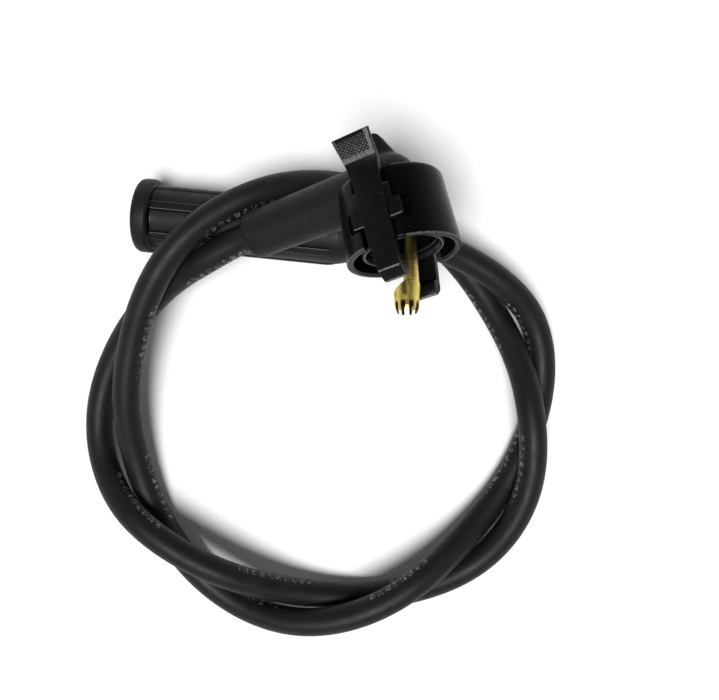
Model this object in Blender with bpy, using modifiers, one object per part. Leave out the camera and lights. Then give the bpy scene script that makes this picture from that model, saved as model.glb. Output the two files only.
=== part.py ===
"""Ignition lead: a high-tension cable with a snap-lock coil connector and a spark-plug boot.

The lead lies on a table, which is the plane z = 0. Lengths in the lists below are millimetres.
The coil connector is modelled in its own frame: +Z is its mating direction, out of the shell's
mouth, +Y points at the front latch, and the cable arm runs along -X. The plug boot is modelled
with +Z out of its mouth. An empty places and turns each of the two.
"""
import math

import bmesh
import bpy
import numpy as np
from mathutils import Matrix, Vector

MM = 0.001
GAP = 0.3                   # between pieces that touch on the real lead

# Cable and its layers, by radius
CABLE_R = 4.0
CABLE_SIDES = 3             # bevel resolution: a tube of ten sides
CABLE_POINTS = 78
JACKET_INNER_R = 3.1
BRAID_R = (2.5, 2.8)
INSULATION_R = (1.2, 2.2)
CONDUCTOR_R = 0.9

# Where the coil connector sits and how it is turned
COIL_ORIGIN = Vector((27.3, 10.05, 44.15))
COIL_HEADING = math.radians(11.0)   # of the mating direction, from -Y towards +X
COIL_TILT = math.radians(14.0)      # of the mouth, up from the table
COIL_ROLL = math.radians(23.5)      # about the mating direction, arm end down

# Coil connector
SHELL_TOP_R = 13.5
SHELL_MOUTH_R = 14.7
SHELL_LENGTH = 20.0
SHELL_WALL = 2.0
NECK_R = 7.6
ARM_LENGTH = 41.8
ARM_END_R = 6.5
SKIRT_R = 10.8
SKIRT_END = 18.6
BORE_R = CABLE_R + GAP
THROAT_R = 4.7
SLOT_EDGES = {1: (-5.5, 5.3, 6.4, -4.7), -1: (-5.2, 5.2, 5.9, -5.9)}    # x at the top, then at the mouth
SLOT_FLOOR = 10.95          # distance of the slot's floor from the connector's axis
HINGE_HEIGHT = 12.1         # of the latch hinge, along the mating direction
HINGE_OUT = 12.7            # of the latch hinge, from the axis
WING_HALF_LENGTH = 6.6
FRONT_SKEW = math.radians(2.0)      # of the front latch in its slot, hook end away from the arm
BARREL_R = (2.5, 3.0)
CHANNEL_R = (1.5, 2.0)
CHANNEL_HALF_WRAP = 100     # degrees each way from the channel's back
CROWN_R = (2.7, 3.2)
CROWN_TOP = 26.8            # along the mating direction
CROWN_END = 34.2
CROWN_SLOT = (1.2, 2.6)     # width and depth of the slots between its prongs
CROWN_PRONGS = 9
TERMINAL_BEND = 11.0        # height at which the terminal leans over
TERMINAL_LEAN = math.radians(9.0)
TERMINAL_OFFSET = 1.5       # of the terminal's axis at that height, away from the arm

# Plug boot
PLUG_MOUTH = Vector((-44.0, 7.05, 10.48))
PLUG_HEADING = math.radians(-6.3)   # of the cable end, from +X
PLUG_RISE = math.radians(5.3)       # of the cable end, up from the table
PLUG_LENGTH = 76.0
PLUG_BODY_R = 8.35
PLUG_LIP_R = 10.65
PLUG_LIP_LENGTH = 5.0
PLUG_SOCKET_R = 5.4
PLUG_RIBS = range(15, 375, 60)      # degrees from the top, towards the far side
PLUG_RIB = (2.3, 0.55)              # width and height

# The cable's own route between the two boots, over and under itself
ROUTE = [
    (-22.3, -6.8, 23.4), (-33.1, -12.4, 16.9), (-42.3, -20.3, 12.7), (-50.8, -31.8, 8.5),
    (-56.5, -46.1, 5.7), (-57.3, -58.3, 5.1), (-54.1, -69.4, 7.5), (-46.9, -79.2, 12.3),
    (-32.9, -89.7, 15.1), (-17.8, -97.5, 13.1), (-0.1, -103.4, 7.1), (18.7, -105.7, 4.2),
    (36.5, -103.3, 4.2), (51.9, -97.1, 4.3), (63.8, -84.6, 8.1), (69.5, -68.5, 11.7),
    (69.4, -52.3, 13.1), (66.3, -35.7, 8.6), (58.9, -19.7, 4.4), (47.9, -4.7, 4.2),
    (36.7, 5.1, 4.5), (25.7, 12.3, 7.5), (8.6, 15.0, 16.2), (-6.6, 11.5, 24.6),
    (-19.6, 5.0, 26.9), (-29.4, -3.1, 27.3), (-38.5, -15.9, 24.5), (-44.5, -31.3, 19.2),
    (-47.1, -45.8, 14.9), (-45.9, -63.8, 8.1), (-40.6, -80.9, 4.6), (-30.5, -96.2, 4.3),
    (-16.5, -107.3, 4.9), (1.0, -111.7, 9.5), (17.7, -109.1, 12.7), (33.7, -101.1, 13.7),
    (51.3, -86.4, 7.8), (64.1, -70.6, 4.2), (71.3, -54.3, 4.2), (74.0, -37.3, 4.5),
    (70.6, -23.3, 7.2), (60.2, -12.3, 12.5), (47.2, -4.9, 15.5),
]


def mm(*values):
    return Vector(values) * MM


# ---------------------------------------------------------------- scene helpers

def clear_scene():
    for obj in list(bpy.data.objects):
        bpy.data.objects.remove(obj)


def collection(name):
    made = bpy.data.collections.new(name)
    bpy.context.scene.collection.children.link(made)
    return made


def material(name, colour, roughness, metallic=0.0):
    made = bpy.data.materials.new(name)
    made.use_nodes = True
    shader = made.node_tree.nodes["Principled BSDF"]
    shader.inputs["Base Color"].default_value = (*colour, 1.0)
    shader.inputs["Roughness"].default_value = roughness
    shader.inputs["Metallic"].default_value = metallic
    return made


def place(obj, look, parent, is_cutter=False):
    """Put an object in its collection, with its material and its parent."""
    (CUTTERS if is_cutter else PARTS).objects.link(obj)
    obj.parent = parent
    if look:
        obj.data.materials.append(look)
    if is_cutter:
        obj.hide_render = True
        obj.display_type = "WIRE"
    return obj


def frame(name, origin, x_axis, y_axis, z_axis):
    """An empty at origin (mm) with the given unit axes."""
    empty = bpy.data.objects.new(name, None)
    PARTS.objects.link(empty)
    turned_by = Matrix((x_axis, y_axis, z_axis)).transposed().to_4x4()
    empty.matrix_world = Matrix.Translation(Vector(origin) * MM) @ turned_by
    return empty


def shade(obj, degrees=35.0):
    obj.data.shade_smooth()
    obj.data.set_sharp_from_angle(angle=math.radians(degrees))


# ---------------------------------------------------------------- shape helpers

def turned(name, profile, look, parent, steps=40, is_cutter=False, closed=False):
    """A solid of revolution about Z: profile is (radius, height), outer side downwards."""
    mesh = bpy.data.meshes.new(name)
    points = [mm(radius, 0.0, height) for radius, height in profile]
    edges = [(i, i + 1) for i in range(len(points) - 1)]
    if closed:
        edges.append((len(points) - 1, 0))
    mesh.from_pydata(points, edges, [])
    obj = place(bpy.data.objects.new(name, mesh), look, parent, is_cutter)
    screw = obj.modifiers.new("Screw", "SCREW")
    screw.steps = steps
    screw.render_steps = steps
    screw.use_merge_vertices = True
    screw.merge_threshold = 1e-6
    screw.use_smooth_shade = True
    return obj


def meshed(curve_obj, name, look, parent, is_cutter=False):
    """A closed mesh of a filled curve, its caps welded."""
    bpy.context.view_layer.update()
    graph = bpy.context.evaluated_depsgraph_get()
    mesh = bpy.data.meshes.new_from_object(curve_obj.evaluated_get(graph))
    mesh.name = name
    shape = bmesh.new()
    shape.from_mesh(mesh)
    bmesh.ops.remove_doubles(shape, verts=shape.verts, dist=1e-6)
    shape.to_mesh(mesh)
    shape.free()
    matrix = curve_obj.matrix_world.copy()
    bpy.data.objects.remove(curve_obj)
    obj = place(bpy.data.objects.new(name, mesh), look, parent, is_cutter)
    obj.matrix_local = matrix
    return obj


def plate(name, outline, thickness, look, parent, is_cutter=False):
    """A flat outline in XY, thickness along Z, both ways from z = 0."""
    curve = bpy.data.curves.new(name, "CURVE")
    curve.dimensions = "2D"
    curve.fill_mode = "BOTH"
    curve.extrude = thickness * MM / 2
    spline = curve.splines.new("POLY")
    spline.points.add(len(outline) - 1)
    for point, (x, y) in zip(spline.points, outline):
        point.co = (x * MM, y * MM, 0.0, 1.0)
    spline.use_cyclic_u = True
    drawn = bpy.data.objects.new(name, curve)
    bpy.context.scene.collection.objects.link(drawn)
    return meshed(drawn, name, look, parent, is_cutter)


def block(name, low, high, look, parent, is_cutter=False, bevel=0.0):
    """A box between two corners, with its edges rounded where bevel is given."""
    shape = bmesh.new()
    bmesh.ops.create_cube(shape, size=1.0)
    size = Vector(high) - Vector(low)
    centre = (Vector(high) + Vector(low)) / 2
    for vert in shape.verts:
        vert.co = Vector(c * s + o for c, s, o in zip(vert.co, size, centre)) * MM
    mesh = bpy.data.meshes.new(name)
    shape.to_mesh(mesh)
    shape.free()
    obj = place(bpy.data.objects.new(name, mesh), look, parent, is_cutter)
    if bevel:
        rounding = obj.modifiers.new("Bevel", "BEVEL")
        rounding.width = bevel * MM
        rounding.segments = 2
    return obj


def rod(name, radius, low_z, high_z, look, parent, is_cutter=False, sides=32):
    profile = [(0, high_z), (radius, high_z), (radius, low_z), (0, low_z)]
    return turned(name, profile, look, parent, sides, is_cutter)


def ring_tube(inner, outer, low_z, high_z):
    """The closed profile of a tube, its outer side downwards."""
    return [(outer, high_z), (outer, low_z), (inner, low_z), (inner, high_z)]


def combine(obj, other, operation):
    step = obj.modifiers.new(operation.title(), "BOOLEAN")
    step.operation = operation
    step.solver = "EXACT"
    step.object = other
    return step


def arc(centre, radius, start, end, count):
    """Points of an arc, in degrees."""
    return [
        (centre[0] + radius * math.cos(math.radians(a)), centre[1] + radius * math.sin(math.radians(a)))
        for a in np.linspace(start, end, count)
    ]


# ---------------------------------------------------------------- cable layers in a boot

def cable_end(prefix, parent, turn, jacket, braid, insulation, conductor):
    """The stripped cable inside a boot: each layer spans (low, high) along the boot's bore."""
    layers = [
        ("jacket", JACKET_INNER_R, CABLE_R, jacket, RUBBER),
        ("braid", *BRAID_R, braid, GLASS_BRAID),
        ("insulation", *INSULATION_R, insulation, INSULATION),
    ]
    for layer, inner, outer, (low, high), look in layers:
        tube = turned(f"{prefix}_{layer}", ring_tube(inner, outer, low, high), look, parent, 20, closed=True)
        tube.matrix_local = turn
    core = rod(f"{prefix}_conductor", CONDUCTOR_R, *conductor, CONDUCTOR, parent, sides=12)
    core.matrix_local = turn


# ---------------------------------------------------------------- coil connector

def coil_frame():
    heading, tilt, roll = COIL_HEADING, COIL_TILT, COIL_ROLL
    side = Vector((math.cos(heading), math.sin(heading), 0.0))
    mating = Vector((math.sin(heading) * math.cos(tilt), -math.cos(heading) * math.cos(tilt), math.sin(tilt)))
    upward = mating.cross(side)
    x_axis = side * math.cos(roll) + upward * math.sin(roll)
    y_axis = upward * math.cos(roll) - side * math.sin(roll)
    return frame("coil_connector", COIL_ORIGIN, x_axis, y_axis, mating)


def coil_boot(parent):
    """Rubber elbow: a skirt inside the shell, a round dome above it and the cable arm."""
    skirt = [
        (0, -0.5), (NECK_R, -0.5), (NECK_R, 2.7), (SKIRT_R - 0.3, 2.7), (SKIRT_R, 3.6), (SKIRT_R, SKIRT_END - 0.4),
        (SKIRT_R - 0.4, SKIRT_END), (9.3, SKIRT_END), (9.0, SKIRT_END - 0.3),
        (9.0, 11.8), (7.6, 10.0), (4.0, 9.4), (0, 9.4),
    ]
    # the profile runs from the closed end to the mouth, so it is turned over to run downwards
    boot = turned("coil_boot", [(r, -z) for r, z in skirt], RUBBER, parent, 48)
    boot.matrix_local = Matrix.Rotation(math.pi, 4, "X")

    dome = turned("dome", arc((0, -0.5), NECK_R, 90, -90, 17), None, parent, 40, True)
    arm_profile = [
        (0, 0.1), (NECK_R - 0.1, 0.1), (NECK_R - 0.5, -9.0), (ARM_END_R + 0.2, -25.0), (ARM_END_R, -39.0),
        (ARM_END_R, -40.8), (ARM_END_R - 0.4, -41.5), (ARM_END_R - 1.2, -ARM_LENGTH), (0, -ARM_LENGTH),
    ]
    arm = turned("arm", arm_profile, None, parent, 40, True)
    arm.matrix_local = Matrix.Rotation(math.pi / 2, 4, "Y")
    tab_outline = [(-8.5, 0.0), (-7.8, 9.0), (-6.6, 12.9), (-5.0, 14.3), (-0.8, 14.3), (0.2, 13.7),
                   (3.1, 8.2), (3.7, 6.0), (3.7, 0.0)]
    tab = plate("tab", tab_outline, 4.0, None, parent, True)
    tab.matrix_local = Matrix.Rotation(-math.pi / 2, 4, "X")
    for piece in (dome, arm, tab):
        combine(boot, piece, "UNION")

    bore = rod("cable_bore", BORE_R, -ARM_LENGTH - 1, -5.0, None, parent, True)
    bore.matrix_local = Matrix.Rotation(math.pi / 2, 4, "Y")
    throat = rod("terminal_bore", THROAT_R, -3.4, 12.0, None, parent, True)
    elbow = block("elbow_bore", (-6.0, -3.4, -3.4), (0.0, 3.4, 3.4), None, parent, True)
    for cutter in (bore, throat, elbow):
        combine(boot, cutter, "DIFFERENCE")
    return boot


def slot_cutters(parent, side):
    """The latch slot through the wall on one side (+1 front, -1 rear), with its hinge pockets."""
    name = "front" if side > 0 else "rear"
    low = sorted((SLOT_FLOOR * side, 20.0 * side))
    left, right, right_mouth, left_mouth = SLOT_EDGES[side]
    outline = [(left, -2.0), (right, -2.0), (right_mouth, SHELL_LENGTH + 2), (left_mouth, SHELL_LENGTH + 2)]
    slot = plate(f"{name}_slot", outline, low[1] - low[0], None, parent, True)
    slot.matrix_local = Matrix.Translation(mm(0, (low[0] + low[1]) / 2, 0)) @ Matrix.Rotation(math.pi / 2, 4, "X")
    reach = sorted((10.4 * side, 20.0 * side))
    pocket = block(f"{name}_pocket", (-8.4, reach[0], HINGE_HEIGHT - 2.7),
                   (8.4, reach[1], HINGE_HEIGHT + 3.0), None, parent, True, bevel=0.9)
    return slot, pocket


def coil_shell(parent):
    """Rigid round shroud with a top plate, an arm notch and a latch slot on each side."""
    inner = SHELL_TOP_R - SHELL_WALL
    profile = [
        (8.0, 0.3), (SHELL_TOP_R - 1.8, 0.3), (SHELL_TOP_R - 0.6, 0.8), (SHELL_TOP_R, 1.9),
        (SHELL_MOUTH_R, SHELL_LENGTH - 0.5), (SHELL_MOUTH_R - 0.4, SHELL_LENGTH),
        (SHELL_MOUTH_R - SHELL_WALL + 0.3, SHELL_LENGTH), (SHELL_MOUTH_R - SHELL_WALL, SHELL_LENGTH - 0.4),
        (inner, 3.2), (inner - 0.8, 2.3), (8.0, 2.3),
    ]
    shell = turned("coil_shell", [(r, -z) for r, z in profile], SHELL_PLASTIC, parent, 64, closed=True)
    shell.matrix_local = Matrix.Rotation(math.pi, 4, "X")
    notch = rod("arm_notch", NECK_R + 0.35, -20.0, -1.0, None, parent, True, sides=40)
    notch.matrix_local = Matrix.Rotation(math.pi / 2, 4, "Y")
    opening = block("arm_opening", (-20.0, -NECK_R - 0.35, -3.0), (-1.0, NECK_R + 0.35, 0.0), None, parent, True)
    for cutter in (notch, opening, *slot_cutters(parent, 1), *slot_cutters(parent, -1)):
        combine(shell, cutter, "DIFFERENCE")
    return shell


def latch(name, parent, side):
    """Squeeze lever on its own hinge: thumb pad, lever, two wings and a hook."""
    hinge = bpy.data.objects.new(f"{name}_hinge", None)
    PARTS.objects.link(hinge)
    hinge.parent = parent
    facing = Matrix.Rotation(FRONT_SKEW, 4, "Y") if side > 0 else Matrix.Rotation(math.pi, 4, "Z")
    hinge.matrix_local = Matrix.Translation(mm(0, HINGE_OUT * side, HINGE_HEIGHT)) @ facing

    # side view (height from the hinge, distance from the connector's axis), pad end first
    outer = [(-19.0, 19.3), (-13.6, 15.9), (-12.1, 15.4), (0.0, 15.1), (7.0, 14.8), (14.4, 14.2)]
    inner = [(15.9, 11.6), (15.6, 10.7), (13.4, 10.7), (12.0, 12.3), (0.0, 12.4), (-11.1, 13.3),
             (-14.0, 14.0), (-19.8, 18.0)]
    section = [(y - HINGE_OUT, z) for z, y in outer + inner]
    lever = plate(name, section, 16.0, LATCH_PLASTIC, hinge)
    lever.matrix_local = Matrix.Rotation(math.pi / 2, 4, "Z") @ Matrix.Rotation(math.pi / 2, 4, "X")

    # front view (half width, height from the hinge)
    half = [(5.2, -20.5), (4.9, -19.0), (4.3, -13.6), (3.6, -8.1), (3.45, 0.0), (3.4, 7.0), (3.0, 12.0),
            (2.75, 16.5)]
    front = half + [(-x, z) for x, z in reversed(half)]
    mask = plate(f"{name}_width", front, 24.0, None, hinge, True)
    mask.matrix_local = Matrix.Rotation(math.pi / 2, 4, "X")
    combine(lever, mask, "INTERSECT")

    wings = block(f"{name}_wings", (-WING_HALF_LENGTH, -1.1, -2.3), (WING_HALF_LENGTH, 1.1, 2.3),
                  None, hinge, True, bevel=0.5)
    shoulder = block(f"{name}_shoulder", (-4.8, -0.3, -6.5), (4.8, 1.1, -1.9), None, hinge, True, bevel=0.3)
    combine(lever, wings, "UNION")
    combine(lever, shoulder, "UNION")
    return lever


def swept(name, section, stations, look, parent):
    """A solid skin through copies of one section (out, side), each at (position, out axis)."""
    shape = bmesh.new()
    rings = []
    for position, out_axis in stations:
        out = Vector((out_axis[0], 0.0, out_axis[1])).normalized()
        rings.append([
            shape.verts.new((Vector(position) + out * a + Vector((0, 1, 0)) * b) * MM) for a, b in section
        ])
    count = len(section)
    for first, second in zip(rings, rings[1:]):
        for i in range(count):
            j = (i + 1) % count
            shape.faces.new((first[i], first[j], second[j], second[i]))
    shape.faces.new(list(reversed(rings[0])))
    shape.faces.new(rings[-1])
    bmesh.ops.recalc_face_normals(shape, faces=shape.faces)
    mesh = bpy.data.meshes.new(name)
    shape.to_mesh(mesh)
    shape.free()
    return place(bpy.data.objects.new(name, mesh), look, parent)


def terminal_axis(height):
    """Distance of the terminal's axis from the connector's, away from the arm."""
    return TERMINAL_OFFSET - max(0.0, height - TERMINAL_BEND) * math.tan(TERMINAL_LEAN)


def coil_terminal(parent):
    """Folded brass strip: crimp barrel in the arm, channel round the elbow, slotted crown."""
    wrap = CHANNEL_HALF_WRAP
    section = arc((0, 0), CHANNEL_R[1], -wrap, wrap, 11) + arc((0, 0), CHANNEL_R[0], wrap, -wrap, 11)
    back = CROWN_R[1] - CHANNEL_R[1] - 0.1
    barrel_back = BARREL_R[1] - CHANNEL_R[1] - 0.1
    stations = [((-9.0, 0, -barrel_back), (0, -1))]
    bend_radius = 3.2
    corner = (terminal_axis(0) + back - bend_radius, bend_radius - barrel_back)
    for turn in np.linspace(0, math.pi / 2, 7):
        out = (math.sin(turn), -math.cos(turn))
        stations.append(((corner[0] + bend_radius * out[0], 0, corner[1] + bend_radius * out[1]), out))
    lean_out = (math.cos(TERMINAL_LEAN), math.sin(TERMINAL_LEAN))
    for height in (TERMINAL_BEND, TERMINAL_BEND + 1.0, CROWN_TOP + 2.0):
        out = (1.0, 0.0) if height == TERMINAL_BEND else lean_out
        stations.append(((terminal_axis(height) + back, 0, height), out))
    terminal = swept("coil_terminal", section, stations, BRASS, parent)

    barrel = turned("barrel", ring_tube(*BARREL_R, -15.5, -8.0), None, parent, 24, True, closed=True)
    barrel.matrix_local = Matrix.Rotation(math.pi / 2, 4, "Y")
    lean = Matrix.Translation(mm(terminal_axis(CROWN_END), 0, CROWN_END)) @ Matrix.Rotation(-TERMINAL_LEAN, 4, "Y")
    crown = turned("crown", ring_tube(*CROWN_R, CROWN_TOP - CROWN_END, 0.0), None, parent, 36, True, closed=True)
    crown.matrix_local = lean
    slant = block("crown_slant", (-9.0, -5.0, -14.0), (0.9, 5.0, CROWN_TOP - CROWN_END), None, parent, True)
    slant.matrix_local = lean @ Matrix.Rotation(math.radians(14), 4, "Y")
    width, depth = CROWN_SLOT
    for i in range(CROWN_PRONGS):
        slit = block(f"crown_slit_{i}", (2.0, -width / 2, -depth), (5.0, width / 2, 1.0), None, parent, True)
        slit.matrix_local = lean @ Matrix.Rotation(math.radians(360 * i / CROWN_PRONGS + 6), 4, "Z")
        combine(crown, slit, "DIFFERENCE")
    combine(crown, slant, "DIFFERENCE")
    combine(terminal, barrel, "UNION")
    combine(terminal, crown, "UNION")
    return terminal


# ---------------------------------------------------------------- plug end

def plug_frame():
    towards_cable = Vector((
        math.cos(PLUG_RISE) * math.cos(PLUG_HEADING),
        math.cos(PLUG_RISE) * math.sin(PLUG_HEADING),
        math.sin(PLUG_RISE),
    ))
    side = Vector((0, 0, 1)).cross(towards_cable).normalized()
    z_axis = -towards_cable
    return frame("plug_end", PLUG_MOUTH + towards_cable * PLUG_LENGTH, side, z_axis.cross(side), z_axis)


def plug_boot(parent):
    """Straight rubber boot: cable collar, ribbed grip, flanged lip, plug socket inside."""
    end, lip = PLUG_LENGTH, PLUG_LENGTH - PLUG_LIP_LENGTH
    outside = [
        (PLUG_LIP_R - 1.0, end), (PLUG_LIP_R - 0.3, end - 0.5), (PLUG_LIP_R, end - 1.4), (PLUG_LIP_R, lip + 1.2),
        (PLUG_LIP_R - 0.4, lip + 0.4), (PLUG_LIP_R - 1.2, lip), (PLUG_BODY_R, lip - 0.4), (PLUG_BODY_R, 18.0),
        (PLUG_BODY_R - 0.6, 15.5), (6.3, 9.5), (5.9, 7.5), (5.9, 0.6), (5.5, 0.0),
    ]
    inside = [
        (BORE_R, 0.0), (BORE_R, 14.0), (4.6, 14.3), (4.6, 20.0), (PLUG_SOCKET_R, 21.5), (PLUG_SOCKET_R, 48.0),
        (5.0, 48.8), (5.0, 50.0), (5.5, 50.8), (5.5, 60.0), (5.1, 60.8), (5.1, 62.0), (5.7, 62.8),
        (5.7, end - 1.0), (6.6, end),
    ]
    boot = turned("plug_boot", outside + inside, RUBBER, parent, 44, closed=True)
    for degrees in PLUG_RIBS:
        width, height = PLUG_RIB
        rib = block(f"rib_{degrees}", (-width / 2, PLUG_BODY_R - 0.8, 19.0),
                    (width / 2, PLUG_BODY_R + height, lip + 0.6), None, parent, True)
        rib.matrix_local = Matrix.Rotation(math.radians(180 + degrees), 4, "Z")
        combine(boot, rib, "UNION")
    return boot


def plug_terminal(parent):
    """Metal sleeve: crimp barrel on the cable, snap socket for the plug's stud, clip windows."""
    profile = [
        (4.0, 37.0), (4.0, 23.0), (BARREL_R[1], 21.0), (BARREL_R[1], 14.6), (BARREL_R[0], 14.6),
        (BARREL_R[0], 21.4), (3.5, 23.4), (3.5, 37.0),
    ]
    sleeve = turned("plug_terminal", profile, STEEL, parent, 28, closed=True)
    for name, low, high in (("left", -4.6, -2.6), ("right", 2.6, 4.6)):
        window = block(f"clip_window_{name}", (low, -2.0, 29.6), (high, 2.0, 31.6), None, parent, True)
        combine(sleeve, window, "DIFFERENCE")
    return sleeve


def plug_clip(parent):
    """Open ring of spring wire round the socket."""
    curve = bpy.data.curves.new("plug_terminal_clip", "CURVE")
    curve.dimensions = "3D"
    curve.bevel_depth = 0.35 * MM
    curve.bevel_resolution = 1
    curve.use_fill_caps = True
    curve.render_resolution_u = 0
    spline = curve.splines.new("POLY")
    points = arc((0, 0), 4.7, -60, 240, 25)
    spline.points.add(len(points) - 1)
    for point, (x, y) in zip(spline.points, points):
        point.co = (x * MM, y * MM, 30.6 * MM, 1.0)
    return place(bpy.data.objects.new("plug_terminal_clip", curve), STEEL, parent)


# ---------------------------------------------------------------- cable

def smooth_route(points, count):
    """Points at even steps along the natural cubic curve through the given points."""
    through = np.array([tuple(p) for p in points])
    at = np.concatenate([[0.0], np.cumsum(np.linalg.norm(np.diff(through, axis=0), axis=1))])
    step = np.diff(at)
    size = len(at)
    matrix = np.zeros((size, size))
    right = np.zeros((size, 3))
    matrix[0, 0] = matrix[-1, -1] = 1.0
    for i in range(1, size - 1):
        matrix[i, i - 1:i + 2] = step[i - 1], 2 * (step[i - 1] + step[i]), step[i]
        right[i] = 6 * ((through[i + 1] - through[i]) / step[i] - (through[i] - through[i - 1]) / step[i - 1])
    bend = np.linalg.solve(matrix, right)
    fine = np.linspace(0.0, at[-1], 40 * size)
    span = np.clip(np.searchsorted(at, fine, side="right") - 1, 0, size - 2)
    low, high = (at[span + 1] - fine)[:, None], (fine - at[span])[:, None]
    width = step[span][:, None]
    curve = (bend[span] * low ** 3 + bend[span + 1] * high ** 3) / (6 * width)
    curve += (through[span] / width - bend[span] * width / 6) * low
    curve += (through[span + 1] / width - bend[span + 1] * width / 6) * high
    length = np.concatenate([[0.0], np.cumsum(np.linalg.norm(np.diff(curve, axis=0), axis=1))])
    even = np.linspace(0.0, length[-1], count)
    return np.column_stack([np.interp(even, length, curve[:, i]) for i in range(3)])


def cable(coil, plug):
    """The lead between the two boots, face to face with each."""
    arm_out = -(coil.matrix_world.to_3x3() @ Vector((1, 0, 0)))
    arm_end = coil.matrix_world.translation / MM + arm_out * (ARM_LENGTH + GAP)
    plug_out = -(plug.matrix_world.to_3x3() @ Vector((0, 0, 1)))
    plug_end = plug.matrix_world.translation / MM + plug_out * GAP
    route = [arm_end, arm_end + arm_out * 3.0, *ROUTE, plug_end + plug_out * 5.0, plug_end]
    curve = bpy.data.curves.new("ignition_cable", "CURVE")
    curve.dimensions = "3D"
    curve.bevel_depth = CABLE_R * MM
    curve.bevel_resolution = CABLE_SIDES
    curve.use_fill_caps = True
    curve.render_resolution_u = 0
    spline = curve.splines.new("POLY")
    points = smooth_route(route, CABLE_POINTS)
    spline.points.add(len(points) - 1)
    for point, place_mm in zip(spline.points, points):
        point.co = (*(place_mm * MM), 1.0)
    return place(bpy.data.objects.new("ignition_cable", curve), JACKET, None)


# ---------------------------------------------------------------- build

clear_scene()
PARTS = collection("ignition_lead")
CUTTERS = collection("cutters")
RUBBER = material("boot_rubber", (0.028, 0.028, 0.029), 0.62)
JACKET = material("cable_jacket", (0.030, 0.030, 0.031), 0.55)
SHELL_PLASTIC = material("shell_plastic", (0.022, 0.022, 0.023), 0.42)
LATCH_PLASTIC = material("latch_plastic", (0.025, 0.025, 0.026), 0.5)
BRASS = material("terminal_brass", (0.72, 0.56, 0.26), 0.35, 1.0)
STEEL = material("plated_steel", (0.62, 0.62, 0.60), 0.35, 1.0)
GLASS_BRAID = material("glass_braid", (0.75, 0.74, 0.70), 0.8)
INSULATION = material("cable_insulation", (0.60, 0.58, 0.54), 0.6)
CONDUCTOR = material("conductor_core", (0.05, 0.05, 0.05), 0.7)

coil = coil_frame()
coil_boot(coil)
coil_shell(coil)
latch("latch_front", coil, 1)
latch("latch_rear", coil, -1)
coil_terminal(coil)
arm_turn = Matrix.Rotation(math.pi / 2, 4, "Y")
cable_end("coil_end", coil, arm_turn, (-41.2, -19.5), (-41.2, -16.6), (-41.2, -12.0), (-41.2, -9.4))

plug = plug_frame()
plug_boot(plug)
plug_terminal(plug)
plug_clip(plug)
cable_end("plug_end", plug, Matrix.Identity(4), (0.4, 12.5), (0.4, 14.0), (0.4, 18.0), (0.4, 20.5))
bpy.context.view_layer.update()
cable(coil, plug)
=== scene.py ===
"""Looks of the ignition lead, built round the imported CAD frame.

Shapes are worked out in millimetres, in the two moulded ends' own frames, and baked into meshes
in metres in the row frame. Connector frame: +Z out of the shell's mouth, +Y to the front latch,
cable arm along -X. Plug frame: +Z out of the boot's mouth.
"""

import math

import bmesh
import bpy
import numpy as np
from mathutils import Matrix, Vector


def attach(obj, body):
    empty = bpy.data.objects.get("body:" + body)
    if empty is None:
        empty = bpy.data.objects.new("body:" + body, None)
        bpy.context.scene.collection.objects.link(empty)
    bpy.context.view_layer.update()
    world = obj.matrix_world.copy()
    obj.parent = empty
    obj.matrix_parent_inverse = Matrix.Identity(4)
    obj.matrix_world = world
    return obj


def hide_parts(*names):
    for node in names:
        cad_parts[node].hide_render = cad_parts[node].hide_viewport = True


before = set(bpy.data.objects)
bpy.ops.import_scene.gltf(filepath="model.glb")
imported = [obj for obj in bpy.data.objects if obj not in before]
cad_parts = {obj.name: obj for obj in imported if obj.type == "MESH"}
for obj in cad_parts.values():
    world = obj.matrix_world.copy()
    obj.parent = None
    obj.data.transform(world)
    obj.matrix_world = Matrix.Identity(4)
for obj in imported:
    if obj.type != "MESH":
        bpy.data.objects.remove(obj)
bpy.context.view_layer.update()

MM = 0.001
scene = bpy.context.scene

# ---------------------------------------------------------------- dimensions, as in the CAD

GAP = 0.3                   # between pieces that touch on the real lead
CABLE_R = 4.0
BORE_R = CABLE_R + GAP
BARREL_R = (2.5, 3.0)       # of both crimp barrels, inside and outside

# Where the coil connector sits and how it is turned
COIL_ORIGIN = Vector((27.3, 10.05, 44.15))
COIL_HEADING = math.radians(11.0)   # of the mating direction, from -Y towards +X
COIL_TILT = math.radians(14.0)      # of the mouth, up from the table
COIL_ROLL = math.radians(23.5)      # about the mating direction, arm end down

# Coil connector
SHELL_TOP_R, SHELL_MOUTH_R, SHELL_LENGTH, SHELL_WALL = 13.5, 14.7, 20.0, 2.0
SHELL_MOUTH_INNER_R = SHELL_MOUTH_R - SHELL_WALL + 0.2
NECK_R, ARM_LENGTH, ARM_END_R = 7.6, 41.8, 6.5
ARM_NOTCH_R = NECK_R + 0.35         # of the shell's notch round the cable arm
SKIRT_R, SKIRT_BORE_R, SKIRT_END = 10.8, 9.0, 18.6
THROAT_R = 4.7
SLOT_EDGES = {1: (-5.5, 5.3, 6.4, -4.7), -1: (-5.2, 5.2, 5.9, -5.9)}    # x at the top, then mouth
SLOT_FLOOR, POCKET_FLOOR = 10.95, 10.4      # distances from the connector's axis
HINGE_HEIGHT, HINGE_OUT = 12.1, 12.7
FRONT_SKEW = math.radians(2.0)      # of the front latch in its slot, hook end away from the arm
STRIP_R = (1.55, 1.98)              # of the brass channel, inside and outside
CROWN_R, CROWN_TOP, CROWN_END, CROWN_PRONGS = 3.2, 26.8, 34.2, 9
TERMINAL_BEND = 11.0                # height at which the terminal leans over
TERMINAL_LEAN = math.radians(9.0)
TERMINAL_OFFSET = 1.5               # of the terminal's axis at that height, away from the arm

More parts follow.
